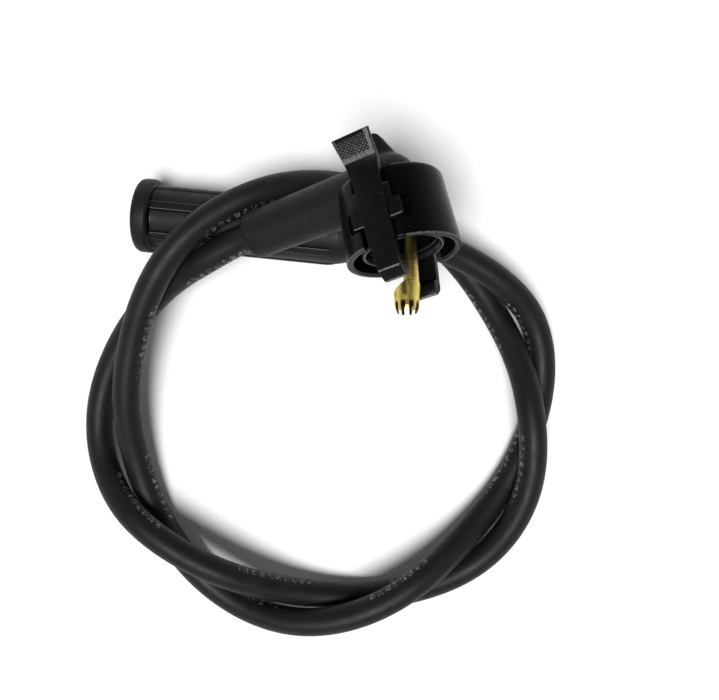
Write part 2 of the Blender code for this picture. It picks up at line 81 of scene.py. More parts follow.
# Plug boot
PLUG_MOUTH = Vector((-44.0, 7.05, 10.48))
PLUG_HEADING = math.radians(-6.3)   # of the cable end, from +X
PLUG_RISE = math.radians(5.3)       # of the cable end, up from the table
PLUG_LENGTH, PLUG_BODY_R, PLUG_LIP_R = 76.0, 8.35, 10.65
PLUG_LIP_FOOT = PLUG_LENGTH - 5.0
PLUG_RIBS = range(15, 375, 60)      # degrees from the top, towards the far side

# The cable's own route between the two boots, over and under itself
ROUTE = [
    (-22.3, -6.8, 23.4), (-33.1, -12.4, 16.9), (-42.3, -20.3, 12.7), (-50.8, -31.8, 8.5),
    (-56.5, -46.1, 5.7), (-57.3, -58.3, 5.1), (-54.1, -69.4, 7.5), (-46.9, -79.2, 12.3),
    (-32.9, -89.7, 15.1), (-17.8, -97.5, 13.1), (-0.1, -103.4, 7.1), (18.7, -105.7, 4.2),
    (36.5, -103.3, 4.2), (51.9, -97.1, 4.3), (63.8, -84.6, 8.1), (69.5, -68.5, 11.7),
    (69.4, -52.3, 13.1), (66.3, -35.7, 8.6), (58.9, -19.7, 4.4), (47.9, -4.7, 4.2),
    (36.7, 5.1, 4.5), (25.7, 12.3, 7.5), (8.6, 15.0, 16.2), (-6.6, 11.5, 24.6),
    (-19.6, 5.0, 26.9), (-29.4, -3.1, 27.3), (-38.5, -15.9, 24.5), (-44.5, -31.3, 19.2),
    (-47.1, -45.8, 14.9), (-45.9, -63.8, 8.1), (-40.6, -80.9, 4.6), (-30.5, -96.2, 4.3),
    (-16.5, -107.3, 4.9), (1.0, -111.7, 9.5), (17.7, -109.1, 12.7), (33.7, -101.1, 13.7),
    (51.3, -86.4, 7.8), (64.1, -70.6, 4.2), (71.3, -54.3, 4.2), (74.0, -37.3, 4.5),
    (70.6, -23.3, 7.2), (60.2, -12.3, 12.5), (47.2, -4.9, 15.5),
]


def local_frame(origin, x_axis, y_axis, z_axis):
    """Matrix from a moulded end's own millimetres to metres in the row frame."""
    turned_by = Matrix((x_axis, y_axis, z_axis)).transposed().to_4x4()
    return Matrix.Translation(origin * MM) @ turned_by @ Matrix.Scale(MM, 4)


def coil_frame():
    side = Vector((math.cos(COIL_HEADING), math.sin(COIL_HEADING), 0.0))
    mating = Vector((
        math.sin(COIL_HEADING) * math.cos(COIL_TILT),
        -math.cos(COIL_HEADING) * math.cos(COIL_TILT),
        math.sin(COIL_TILT),
    ))
    upward = mating.cross(side)
    x_axis = side * math.cos(COIL_ROLL) + upward * math.sin(COIL_ROLL)
    y_axis = upward * math.cos(COIL_ROLL) - side * math.sin(COIL_ROLL)
    return local_frame(COIL_ORIGIN, x_axis, y_axis, mating)


def plug_frame():
    towards_cable = Vector((
        math.cos(PLUG_RISE) * math.cos(PLUG_HEADING),
        math.cos(PLUG_RISE) * math.sin(PLUG_HEADING),
        math.sin(PLUG_RISE),
    ))
    side = Vector((0, 0, 1)).cross(towards_cable).normalized()
    z_axis = -towards_cable
    return local_frame(PLUG_MOUTH + towards_cable * PLUG_LENGTH, side, z_axis.cross(side), z_axis)


COIL = coil_frame()
PLUG = plug_frame()
X_UP = Matrix.Rotation(math.pi / 2, 4, "Y")      # turns +Z towards +X


# ---------------------------------------------------------------- camera, floor and light

CAMERA_AT = (0.0197, -0.0323, 0.2799)
CAMERA_LENS, CAMERA_SENSOR = 46.27, 36.0
LAMP_FROM = (-0.09, -0.27, 0.90)
LAMP_SPREAD, LAMP_STRENGTH = math.radians(24.0), 3.3
ROOM_SHADES = ((0.10, 0.85), (0.72, 0.05))       # (height, grey): pale walls, dark ceiling
FLOOR_HALF, FLOOR_BELOW = 3.0, 0.0001


def camera():
    data = bpy.data.cameras.new("camera")
    data.sensor_width = CAMERA_SENSOR
    data.lens = CAMERA_LENS
    data.clip_start, data.clip_end = 0.01, 10.0
    obj = new_object("camera", data)
    obj.location = CAMERA_AT
    scene.camera = obj


def lamp():
    """A far soft box: even light over the whole floor, with soft shadows."""
    data = bpy.data.lights.new("lamp", "SUN")
    data.angle = LAMP_SPREAD
    data.energy = LAMP_STRENGTH
    obj = new_object("lamp", data)
    obj.location = LAMP_FROM
    obj.rotation_euler = (-obj.location).to_track_quat("-Z", "Y").to_euler()


def room():
    """A pale room with a dark ceiling, as over a copy stand."""
    world = bpy.data.worlds.new("studio")
    world.use_nodes = True
    tree = world.node_tree
    direction = tree.nodes.new("ShaderNodeTexCoord")
    split = tree.nodes.new("ShaderNodeSeparateXYZ")
    height = tree.nodes.new("ShaderNodeValToRGB")
    for stop, (at, grey) in zip(height.color_ramp.elements, ROOM_SHADES):
        stop.position = at
        stop.color = (grey * 0.96, grey * 0.98, grey, 1.0)
    tree.links.new(direction.outputs["Generated"], split.inputs["Vector"])
    tree.links.new(split.outputs["Z"], height.inputs["Fac"])
    tree.links.new(height.outputs["Color"], tree.nodes["Background"].inputs["Color"])
    scene.world = world


def table_top():
    """A matt white floor just under the lead."""
    low, high = -FLOOR_HALF, FLOOR_HALF
    mesh = bpy.data.meshes.new("floor")
    mesh.from_pydata([(low, low, 0), (high, low, 0), (high, high, 0), (low, high, 0)], [], [(0, 1, 2, 3)])
    floor = new_object("floor", mesh)
    floor.location.z = -FLOOR_BELOW
    look = bpy.data.materials.new("floor")
    look.use_nodes = True
    shader = look.node_tree.nodes["Principled BSDF"]
    shader.inputs["Base Color"].default_value = (0.92, 0.92, 0.915, 1.0)
    shader.inputs["Roughness"].default_value = 0.75
    floor.data.materials.append(look)


def studio():
    scene.view_settings.view_transform = "Standard"
    scene.view_settings.look = "None"
    camera()
    lamp()
    room()
    table_top()


# ---------------------------------------------------------------- materials

class Look:
    """A Principled material and short ways to feed it from procedural nodes."""

    def __init__(self, name, roughness=0.5, metallic=0.0, **uniform):
        self.material = bpy.data.materials.new(name)
        self.material.use_nodes = True
        self.tree = self.material.node_tree
        self.shader = self.tree.nodes["Principled BSDF"]
        self.shader.inputs["Roughness"].default_value = roughness
        self.shader.inputs["Metallic"].default_value = metallic
        for socket, value in uniform.items():
            self.shader.inputs[socket.replace("_", " ")].default_value = value
        self.coords = self.tree.nodes.new("ShaderNodeTexCoord")

    def node(self, kind, **inputs):
        made = self.tree.nodes.new("ShaderNode" + kind)
        for socket, value in inputs.items():
            self.feed(made.inputs[socket.replace("_", " ")], value)
        return made

    def feed(self, socket, value):
        if isinstance(value, bpy.types.NodeSocket):
            self.tree.links.new(value, socket)
        else:
            socket.default_value = value

    def noise(self, scale, detail=2.0, roughness=0.5, vector=None):
        vector = vector or self.coords.outputs["Object"]
        made = self.node("TexNoise", Vector=vector, Scale=scale, Detail=detail, Roughness=roughness)
        return made.outputs["Fac"]

    def ramp(self, factor, *stops):
        made = self.node("ValToRGB", Fac=factor)
        elements = made.color_ramp.elements
        while len(elements) < len(stops):
            elements.new(1.0)
        for element, (position, value) in zip(elements, stops):
            colour = value if isinstance(value, tuple) else (value,) * 3
            element.position = position
            element.color = (*colour, 1.0)
        return made.outputs["Color"]

    def maths(self, operation, first, second=0.0):
        made = self.tree.nodes.new("ShaderNodeMath")
        made.operation = operation
        self.feed(made.inputs[0], first)
        self.feed(made.inputs[1], second)
        return made.outputs[0]

    def mix(self, factor, first, second):
        made = self.tree.nodes.new("ShaderNodeMix")
        made.data_type = "RGBA"
        for socket, value in (("Factor_Float", factor), ("A_Color", first), ("B_Color", second)):
            target = next(i for i in made.inputs if i.identifier == socket)
            self.feed(target, (*value, 1.0) if isinstance(value, tuple) else value)
        return next(o for o in made.outputs if o.identifier == "Result_Color")

    def painted(self, name):
        """A per-face number written on the mesh; zero where the mesh has none."""
        made = self.tree.nodes.new("ShaderNodeAttribute")
        made.attribute_name = name
        return made.outputs["Fac"]

    def colour(self, value):
        self.feed(self.shader.inputs["Base Color"], value)

    def rough(self, value):
        self.feed(self.shader.inputs["Roughness"], value)

    def bump(self, height, distance_mm, strength=1.0):
        """Stacks on any bump already there."""
        socket = self.shader.inputs["Normal"]
        made = self.node("Bump", Height=height, Distance=distance_mm * MM, Strength=strength)
        if socket.is_linked:
            self.tree.links.new(socket.links[0].from_socket, made.inputs["Normal"])
        self.tree.links.new(made.outputs["Normal"], socket)


def rubber(name, dark, light, roughness):
    """Moulded black rubber: faint cloudiness, dust and a fine skin; painted shade, near black and glossy, and
    a painted highlight on rib edges, where attributes ask for them.
    """
    look = Look(name, Specular_IOR_Level=0.20)
    cloud = look.noise(140.0, 3.0, 0.6)
    base = look.mix(look.ramp(cloud, (0.35, 0.0), (0.68, 1.0)), dark, light)
    specks = look.ramp(look.noise(1900.0, 1.0), (0.70, 0.0), (0.76, 1.0))
    patches = look.ramp(look.noise(60.0, 2.0), (0.50, 0.0), (0.66, 0.5))
    dust = look.maths("MULTIPLY", specks, patches)
    base = look.mix(dust, base, (0.10, 0.10, 0.095))
    # Painted shade: where this attribute is set the rubber is painted near black, and made glossy
    painted_shade_glossy = look.painted("painted_shade_glossy")
    # Painted highlight: where this attribute is set the rubber is painted pale grey
    base = look.mix(look.painted("painted_rib_highlight"), base, (0.07, 0.07, 0.068))
    look.colour(look.mix(painted_shade_glossy, base, (0.0025, 0.0026, 0.0026)))
    handled = look.ramp(look.noise(320.0, 3.0), (0.3, roughness[0]), (0.7, roughness[1]))
    look.rough(look.mix(painted_shade_glossy, handled, (0.28, 0.28, 0.28)))
    look.bump(look.noise(2600.0, 3.0, 0.6), 0.035, 0.55)
    look.bump(look.noise(420.0, 2.0), 0.05, 0.35)
    return look


STROKES_ALONG, STROKES_ROUND = 1.7, 1.5          # printed strokes to the millimetre
LETTER_PITCH, LETTER_GAP = 2.6, 0.36             # gap as a share of the pitch
WORD_RATE = 0.13                                 # radians to the millimetre
PRINT_FROM, PRINT_TO = 3.6, 5.6                  # band of print, round the cable from its top


def cable_jacket():
    """Extruded rubber with a worn line of small printed marks that spell nothing."""
    look = rubber("cable_jacket", (0.0066, 0.0069, 0.0064), (0.0100, 0.0104, 0.0096), (0.43, 0.55))

    def above(value, limit):
        return look.maths("GREATER_THAN", value, limit)

    # U is the length in millimetres; V is the distance round the cable, in millimetres from its top
    split = look.node("SeparateXYZ", Vector=look.coords.outputs["UV"])
    along, around = split.outputs["X"], split.outputs["Y"]
    stroke_x = look.maths("MULTIPLY", along, STROKES_ALONG)
    stroke_y = look.maths("MULTIPLY", around, STROKES_ROUND)
    snapped = look.tree.nodes.new("ShaderNodeVectorMath")
    snapped.operation = "FLOOR"
    look.feed(snapped.inputs[0], look.node("CombineXYZ", X=stroke_x, Y=stroke_y).outputs[0])
    cells = look.tree.nodes.new("ShaderNodeTexWhiteNoise")
    cells.noise_dimensions = "2D"
    look.feed(cells.inputs["Vector"], snapped.outputs[0])
    strokes = above(cells.outputs["Value"], 0.42)
    letters = above(look.maths("FRACT", look.maths("DIVIDE", along, LETTER_PITCH)), LETTER_GAP)
    words = above(look.maths("SINE", look.maths("MULTIPLY", along, WORD_RATE)), 0.05)
    low_edge = above(around, PRINT_FROM)
    high_edge = look.maths("LESS_THAN", around, PRINT_TO)
    ink = look.ramp(look.noise(900.0, 3.0, 0.7), (0.42, 0.0), (0.60, 0.85))
    for part in (strokes, letters, words, low_edge, high_edge):
        ink = look.maths("MULTIPLY", ink, part)
    base = look.shader.inputs["Base Color"].links[0].from_socket
    look.colour(look.mix(ink, base, (0.20, 0.21, 0.22)))
    return look


def moulded(name, colour, roughness, grain, grain_mm, gloss=0.14):
    """Hard black plastic with a fine eroded grain and pale dust specks; an attribute paints pale highlights
    on its edges and ridges.
    """
    look = Look(name, Specular_IOR_Level=gloss)
    dark, light = (tuple(c * shade for c in colour) for shade in (0.85, 1.2))
    tone = look.ramp(look.noise(170.0, 3.0), (0.3, dark), (0.7, light))
    patchy = look.ramp(look.noise(1500.0, 3.0, 0.7), (0.30, 0.25), (0.62, 1.0))
    # Painted highlight on edges and ridges, broken up by noise
    patchy_highlight = look.maths("MULTIPLY", look.painted("painted_highlight"), patchy)
    specks = look.ramp(look.noise(2100.0, 1.0), (0.775, 0.0), (0.80, 0.5))
    # The painted highlight and the real dust specks both turn the plastic pale grey
    look.colour(look.mix(look.maths("MAXIMUM", patchy_highlight, specks), tone, (0.165, 0.165, 0.152)))
    look.rough(look.ramp(look.noise(260.0, 4.0, 0.65), (0.3, roughness[0]), (0.7, roughness[1])))
    look.bump(look.noise(grain, 2.0, 0.5), grain_mm, 0.5)
    return look


def brass():
    """Rolled brass sheet, painted dark brown by an attribute: painted shade down in the shell, inside the
    crown and along its fold, and two small spots.
    """
    look = Look("folded_brass", metallic=1.0)
    stain = look.ramp(look.noise(330.0, 4.0, 0.65), (0.38, 0.0), (0.70, 1.0))
    tone = look.mix(stain, (0.86, 0.70, 0.17), (0.60, 0.46, 0.11))
    # Painted shade, and two small spots, darken the brass to brown
    look.colour(look.mix(look.painted("shade_and_spots"), tone, (0.13, 0.092, 0.035)))
    stretched = look.node("Mapping", Vector=look.coords.outputs["Object"], Scale=(1.0, 0.12, 1.0))
    rolled = look.noise(2600.0, 2.0, 0.5, stretched.outputs[0])
    look.rough(look.ramp(rolled, (0.3, 0.30), (0.7, 0.44)))
    look.bump(rolled, 0.012, 0.4)
    return look


def steel():
    """Plated steel, a little cloudy."""
    look = Look("plated_steel", metallic=1.0)
    look.colour(look.ramp(look.noise(500.0, 3.0), (0.3, (0.50, 0.50, 0.49)), (0.7, (0.68, 0.68, 0.66))))
    look.rough(look.ramp(look.noise(900.0, 3.0), (0.3, 0.26), (0.7, 0.42)))
    look.bump(look.noise(2600.0, 2.0), 0.01, 0.3)
    return look


def braid():
    """Woven glass fibre: two crossing sets of waves."""
    look = Look("glass_braid", roughness=0.8, Sheen_Weight=0.2)
    waves = []
    for spin in (0.9, -0.9):
        turned_by = look.node("Mapping", Vector=look.coords.outputs["Object"], Rotation=(0.0, spin, 0.4))
        wave = look.node("TexWave", Vector=turned_by.outputs[0], Scale=420.0, Distortion=0.6)
        waves.append(wave.outputs["Fac"])
    weave = look.maths("MAXIMUM", *waves)
    look.colour(look.mix(weave, (0.46, 0.45, 0.41), (0.80, 0.79, 0.74)))
    look.bump(weave, 0.08, 0.7)
    return look


def cut_end(name, dark, light, roughness):
    """The cable's inner layers, seen only where it is stripped."""
    look = Look(name, roughness=roughness)
    look.colour(look.mix(look.noise(1500.0, 4.0, 0.7), dark, light))
    look.bump(look.noise(2400.0, 3.0), 0.03, 0.5)
    return look


# ---------------------------------------------------------------- mesh helpers

def new_object(name, data):
    obj = bpy.data.objects.new(name, data)
    scene.collection.objects.link(obj)
    return obj


def from_grid(name, rows, closed=False):
    """A mesh through rings of points. Closed, the last ring joins the first; open, both get caps."""
    rows = np.asarray(rows, dtype=float)
    count, width = rows.shape[:2]
    index = np.arange(count * width).reshape(count, width)
    first, second = (index, np.roll(index, -1, axis=0)) if closed else (index[:-1], index[1:])
    faces = np.stack([first, np.roll(first, -1, 1), np.roll(second, -1, 1), second], -1)
    faces = [tuple(f) for f in faces.reshape(-1, 4).tolist()]
    if not closed:
        faces += [tuple(reversed(index[0].tolist())), tuple(index[-1].tolist())]
    mesh = bpy.data.meshes.new(name)
    mesh.from_pydata(rows.reshape(-1, 3).tolist(), [], faces)
    shape = bmesh.new()
    shape.from_mesh(mesh)
    bmesh.ops.recalc_face_normals(shape, faces=shape.faces)
    shape.to_mesh(mesh)
    shape.free()
    return new_object(name, mesh)


def softened(points, radius, steps=3):
    """Rounds a closed outline's corners. A point may carry its own radius as a third number."""
    points = [tuple(p) if len(p) == 3 else (*p, radius) for p in points]
    result = []
    for i, (x, y, r) in enumerate(points):
        if r <= 0:
            result.append((x, y))
            continue
        here = Vector((x, y))
        before, after = Vector(points[i - 1][:2]), Vector(points[(i + 1) % len(points)][:2])
        a, b = before - here, after - here
        turn = a.angle(b)
        reach = min(r / max(math.tan(turn / 2), 1e-6), 0.45 * a.length, 0.45 * b.length)
        start, end = here + a.normalized() * reach, here + b.normalized() * reach
        for t in np.linspace(0, 1, steps + 1):
            point = start * (1 - t) ** 2 + here * 2 * t * (1 - t) + end * t ** 2
            result.append((point.x, point.y))
    return result


def filled_in(points, step):
    """Adds points to a closed outline so that no edge is longer than step."""
    result = []
    for i, point in enumerate(points):
        a, b = Vector(point), Vector(points[(i + 1) % len(points)])
        pieces = max(1, math.ceil((b - a).length / step))
        result += [tuple(a.lerp(b, j / pieces)) for j in range(pieces)]
    return result


def full_turn(count):
    """Even angles round a circle."""
    return np.linspace(0, 2 * math.pi, count, endpoint=False)


def lathe(name, profile, angles, radius_at=None):
    """A closed (radius, height) profile turned about Z; radius_at can vary the radius round it."""
    rows = []
    for angle in angles:
        row = []
        for r, z in profile:
            r = radius_at(angle, r, z) if radius_at else r
            row.append((r * math.cos(angle), r * math.sin(angle), z))
        rows.append(row)
    return from_grid(name, rows, closed=True)


def rod(name, rings, sides=64):
    """A solid of revolution about Z through (radius, height) rings, with flat ends."""
    angles = full_turn(sides)
    return from_grid(name, [[(r * math.cos(a), r * math.sin(a), z) for a in angles] for r, z in rings])


def extruded(name, outline, low, high, axes):
    """An outline swept from low to high along the third axis. axes names the outline's two."""
    order = {"xy": (0, 1, 2), "zy": (2, 1, 0), "xz": (0, 2, 1)}[axes]
    rows = []
    for level in (low, high):
        row = []
        for a, b in outline:
            point = [0.0, 0.0, 0.0]
            point[order[0]], point[order[1]], point[order[2]] = a, b, level
            row.append(point)
        rows.append(row)
    return from_grid(name, rows)


def brick(name, low, high):
    """A box between two opposite corners."""
    outline = [(low[0], low[1]), (high[0], low[1]), (high[0], high[1]), (low[0], high[1])]
    return extruded(name, outline, low[2], high[2], "xy")


def moved(obj, matrix):
    """Bakes a matrix into the mesh."""
    obj.data.transform(matrix)
    if matrix.determinant() < 0:
        obj.data.flip_normals()
    return obj


def baked(obj, *modifiers):
    """Applies modifiers given as (type, {setting: value}) and returns the object."""
    for kind, settings in modifiers:
        step = obj.modifiers.new(kind.title(), kind)
        for key, value in settings.items():
            setattr(step, key, value)
    bpy.context.view_layer.update()
    graph = bpy.context.evaluated_depsgraph_get()
    mesh = bpy.data.meshes.new_from_object(obj.evaluated_get(graph))
    mesh.name = obj.name
    old = obj.data
    obj.modifiers.clear()
    obj.data = mesh
    bpy.data.meshes.remove(old)
    return obj


def removed(obj):
    """Deletes an object and its mesh."""
    mesh = obj.data
    bpy.data.objects.remove(obj)
    bpy.data.meshes.remove(mesh)


def carved(obj, operation, *others):
    """Exact Boolean with each of the others, which are used up."""
    for other in others:
        baked(obj, ("BOOLEAN", {"operation": operation, "solver": "EXACT", "object": other}))
        removed(other)


def joined(obj, *others):
    """One object holding every shell."""
    shape = bmesh.new()
    for each in (obj, *others):
        shape.from_mesh(each.data)
    shape.to_mesh(obj.data)
    shape.free()
    for other in others:
        removed(other)
    return obj


def blended(obj, voxel, passes):
    """One skin over overlapping shells, softened where they meet."""
    return baked(
        obj,
        ("REMESH", {"mode": "VOXEL", "voxel_size": voxel, "adaptivity": 0.0}),
        ("SMOOTH", {"factor": 0.5, "iterations": passes}),
    )


def edged(obj, width, segments, angle):
    """Small round on every edge sharper than angle, in degrees."""
    return baked(obj, ("BEVEL", {
        "width": width, "segments": segments, "limit_method": "ANGLE", "angle_limit": math.radians(angle),
        "use_clamp_overlap": True, "loop_slide": True, "miter_outer": "MITER_ARC",
    }))


def painted(obj, name, value_at):
    """Writes one number per face, from its centre and normal."""
    layer = obj.data.attributes.new(name, "FLOAT", "FACE")
    layer.data.foreach_set("value", [value_at(f.center, f.normal) for f in obj.data.polygons])
    return obj


def shaded(obj, angle):
    """Smooth shading that stays crisp over edges sharper than angle, in degrees."""
    obj.data.shade_smooth()
    obj.data.set_sharp_from_angle(angle=math.radians(angle))


def placed(obj, matrix, look, body, slot, *nodes):
    """Bakes a piece into the row frame, dresses it, hangs it on its body and hides the CAD nodes it stands
    for.
    """
    moved(obj, matrix)
    obj.data.materials.clear()
    obj.data.materials.append(look.material)
    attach(obj, body)
    if nodes:
        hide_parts(*nodes)
    return obj


# ---------------------------------------------------------------- cable

CABLE_SIDES, CABLE_POINTS = 36, 620


def smooth_route(points, count):
    """Points at even steps along the natural cubic curve through the given points."""
    through = np.array([tuple(p) for p in points])
    at = np.concatenate([[0.0], np.cumsum(np.linalg.norm(np.diff(through, axis=0), axis=1))])
    step = np.diff(at)
    slope = np.diff(through, axis=0) / step[:, None]
    size = len(at)
    matrix = np.zeros((size, size))
    right = np.zeros((size, 3))
    matrix[0, 0] = matrix[-1, -1] = 1.0
    for i in range(1, size - 1):
        matrix[i, i - 1:i + 2] = step[i - 1], 2 * (step[i - 1] + step[i]), step[i]
        right[i] = 6 * (slope[i] - slope[i - 1])
    bend = np.linalg.solve(matrix, right)
    fine = np.linspace(0.0, at[-1], 40 * size)
    span = np.clip(np.searchsorted(at, fine, side="right") - 1, 0, size - 2)
    low, high = (at[span + 1] - fine)[:, None], (fine - at[span])[:, None]
    width = step[span][:, None]
    curve = (bend[span] * low ** 3 + bend[span + 1] * high ** 3) / (6 * width)
    curve += (through[span] / width - bend[span] * width / 6) * low
    curve += (through[span + 1] / width - bend[span + 1] * width / 6) * high
    length = np.concatenate([[0.0], np.cumsum(np.linalg.norm(np.diff(curve, axis=0), axis=1))])
    even = np.linspace(0.0, length[-1], count)
    return np.column_stack([np.interp(even, length, curve[:, i]) for i in range(3)]), length[-1]


def unrolled(mesh, spacing):
    """UVs in millimetres: U along the cable, V round it, with the seam on its top."""
    layer = mesh.uv_layers.new(name="UVMap")
    girth = 2 * math.pi * CABLE_R
    for face in mesh.polygons:
        corners = [mesh.loops[i].vertex_index for i in face.loop_indices]
        columns = {corner % CABLE_SIDES for corner in corners}
        for loop, corner in zip(face.loop_indices, corners):
            turn = corner % CABLE_SIDES
            # the last face round ends at a full turn, not back at zero
            if turn == 0 and CABLE_SIDES - 1 in columns and len(corners) == 4:
                turn = CABLE_SIDES
            layer.data[loop].uv = (corner // CABLE_SIDES * spacing, turn / CABLE_SIDES * girth)


def cable(look):
    """The lead between the boots: a fine tube along the smoothed route."""
    arm_out = -(COIL.to_3x3() @ Vector((1, 0, 0))).normalized()
    arm_end = COIL.translation / MM + arm_out * (ARM_LENGTH + GAP)
    plug_out = -(PLUG.to_3x3() @ Vector((0, 0, 1))).normalized()
    plug_end = PLUG.translation / MM + plug_out * GAP
    route = [arm_end, arm_end + arm_out * 3.0, *ROUTE, plug_end + plug_out * 5.0, plug_end]
    centre, length = smooth_route(route, CABLE_POINTS)
    tangent = np.gradient(centre, axis=0)
    tangent /= np.linalg.norm(tangent, axis=1)[:, None]
    up = np.array([0.0, 0.0, 1.0]) - tangent * tangent[:, 2:3]
    up /= np.linalg.norm(up, axis=1)[:, None]
    inward = np.cross(up, tangent)
    angles = full_turn(CABLE_SIDES)[None, :, None]
    rows = centre[:, None] + CABLE_R * (np.cos(angles) * up[:, None] + np.sin(angles) * inward[:, None])
    obj = from_grid("ignition_cable_jacket", rows)
    unrolled(obj.data, length / (CABLE_POINTS - 1))
    shaded(obj, 60)
    placed(obj, Matrix.Scale(MM, 4), look, "lead", "cable_jacket", "ignition_cable")


# ---------------------------------------------------------------- coil connector

NECK_BASE = -0.5            # height at which the dome stands on the neck
ELBOW_HALF = 3.4            # of the room that the terminal turns in, inside the boot
SKIRT_SHADE_FROM = 3.2      # height above which the skirt is painted dark and glossy: painted shade inside the shell's mouth


def boot_skirt():
    """The boot's tube round the coil tower: a crisp ring with a sealing ridge in its bore."""
    profile = softened([
        (SKIRT_R - 0.3, 2.7), (SKIRT_R, 3.6), (SKIRT_R, SKIRT_END - 0.5, 0.3),
        (SKIRT_R - 0.5, SKIRT_END, 0.35), (9.7, SKIRT_END, 0.5), (SKIRT_BORE_R, SKIRT_END - 1.1, 0.5),
        (SKIRT_BORE_R, 16.9, 0.2), (8.6, 16.4, 0.2), (8.6, 15.8, 0.2), (SKIRT_BORE_R, 15.3, 0.2),
        (SKIRT_BORE_R, 11.8, 0.4), (7.6, 10.0, 0.4), (THROAT_R, 9.4, 0.3), (THROAT_R, 2.7, 0.2),
    ], 0.3, 4)
    skirt = lathe("skirt", filled_in(profile, 3.0), full_turn(96))
    # Painted shade: the skirt above this height, inside the shell's mouth, is painted dark and glossy
    return painted(skirt, "painted_shade_glossy", lambda place, normal: float(place.z > SKIRT_SHADE_FROM))


def coil_boot(look):
    """Elbow, dome and pull tab as one blended skin, with the skirt inside the shell."""
    arc = np.linspace(0, math.pi, 33)[1:-1]
    dome = rod("dome", [(NECK_R * math.sin(a), NECK_BASE + NECK_R * math.cos(a)) for a in arc])
    neck = rod("neck", [(NECK_R, NECK_BASE), (NECK_R, 3.0)])
    arm = moved(rod("arm", [
        (NECK_R - 0.1, 0.3), (NECK_R - 0.5, -9.0), (ARM_END_R + 0.2, -25.0), (ARM_END_R, -39.0),
        (ARM_END_R, -40.9), (ARM_END_R - 0.35, -41.55), (ARM_END_R - 1.0, -ARM_LENGTH),
    ]), X_UP)
    tab_outline = softened([
        (-8.5, 0.0, 0), (-7.8, -9.0), (-6.6, -12.9), (-5.0, -14.3), (-0.8, -14.3), (0.2, -13.7),
        (3.1, -8.2), (3.7, -6.0), (3.7, 0.0, 0),
    ], 0.9)
    tab = extruded("tab", tab_outline, -2.0, 2.0, "xz")
    body = blended(joined(dome, neck, arm, tab), 0.42, 5)
    bore = moved(rod("bore", [(BORE_R, -5), (BORE_R, -ARM_LENGTH - 2)], 48), X_UP)
    throat = rod("throat", [(THROAT_R, 4), (THROAT_R, -ELBOW_HALF)])
    elbow = brick("elbow", (-6.0, -ELBOW_HALF, -ELBOW_HALF), (0.0, ELBOW_HALF, ELBOW_HALF))
    carved(body, "DIFFERENCE", bore, throat, elbow)
    boot = joined(boot_skirt(), body)
    boot.name = "coil_boot_rubber"
    shaded(placed(boot, COIL, look, "lead", "boot_rubber", "coil_boot"), 50)


def slot_cutters(side):
    """The latch's slot from top to mouth, and the hinge pocket across it."""
    left, right, right_mouth, left_mouth = SLOT_EDGES[side]
    slot = [(left, -2.0), (right, -2.0), (right_mouth, SHELL_LENGTH + 2), (left_mouth, SHELL_LENGTH + 2)]
    half, below, above = 8.4, HINGE_HEIGHT - 2.7, HINGE_HEIGHT + 3.0
    pocket = softened([(-half, below), (half, below), (half, above), (-half, above)], 1.3, 5)
    past_wall = 20.0
    cutters = []
    for name, outline, floor in (("slot", slot, SLOT_FLOOR), ("pocket", pocket, POCKET_FLOOR)):
        low, high = sorted((floor * side, past_wall * side))
        cutters.append(extruded(name, outline, low, high, "xz"))
    return cutters


def rim_painted_highlight(place, normal):
    """Painted highlight on the rounding round the shell's mouth, inside and out."""
    if place.z <= SHELL_LENGTH - 0.5:
        return 0.0
    across = math.hypot(place.x, place.y)
    if abs(across - SHELL_MOUTH_R + 0.12) < 0.16:
        return 0.6
    return 0.35 if abs(across - SHELL_MOUTH_INNER_R - 0.1) < 0.12 else 0.0


def coil_shell(look):
    """Tapered shroud with rounded rims, two latch slots with hinge pockets, and the arm notch."""
    inner = SHELL_TOP_R - SHELL_WALL
    profile = softened([
        (8.3, 0.3, 0.3), (SHELL_TOP_R, 0.3, 1.5), (SHELL_MOUTH_R, SHELL_LENGTH, 0.5),
        (SHELL_MOUTH_INNER_R, SHELL_LENGTH, 0.8), (inner, 3.2, 0.3), (inner - 0.8, 2.3, 0.3), (8.3, 2.3, 0.3),
    ], 0.3, 4)
    shell = lathe("coil_shell_moulding", filled_in(profile, 2.0), full_turn(128))
    notch = moved(rod("notch", [(ARM_NOTCH_R, -1), (ARM_NOTCH_R, -20)]), X_UP)
    opening = brick("opening", (-20.0, -ARM_NOTCH_R, -3.0), (-1.0, ARM_NOTCH_R, 0.02))
    carved(shell, "DIFFERENCE", notch, opening, *slot_cutters(1), *slot_cutters(-1))
    # Painted highlight on the rims round the mouth
    painted(edged(shell, 0.22, 2, 40.0), "painted_highlight", rim_painted_highlight)
    shaded(placed(shell, COIL, look, "lead", "shell_plastic", "coil_shell"), 40)


# ---------------------------------------------------------------- latches

# The lever's side, as (height, distance from the axis): out along its face, back along its underside
LATCH_OUTER = [
    (-19.0, 19.3), (-13.6, 15.9), (-12.1, 15.4), (0.0, 15.1), (7.0, 14.8), (14.4, 14.2), (15.2, 13.5),
]
LATCH_INNER = [
    (16.6, 11.3), (16.4, 10.3), (15.5, 9.9), (13.2, 9.9), (12.0, 12.3), (0.0, 12.4), (-11.1, 13.3),
    (-14.0, 14.0), (-19.8, 18.0),
]
# Its front, as (half width, height), from the thumb pad to the hook
LATCH_HALF = [
    (5.2, -20.5), (4.9, -19.0), (4.3, -13.6), (3.6, -8.1), (3.45, 0.0), (3.4, 7.0), (3.0, 12.0), (2.75, 16.5),
]
HOOK_CORNER = LATCH_OUTER[5]
WING_HALF = Vector((6.6, 1.1, 2.3))
SHOULDER_HALF, SHOULDER_TOP = 4.8, -6.5

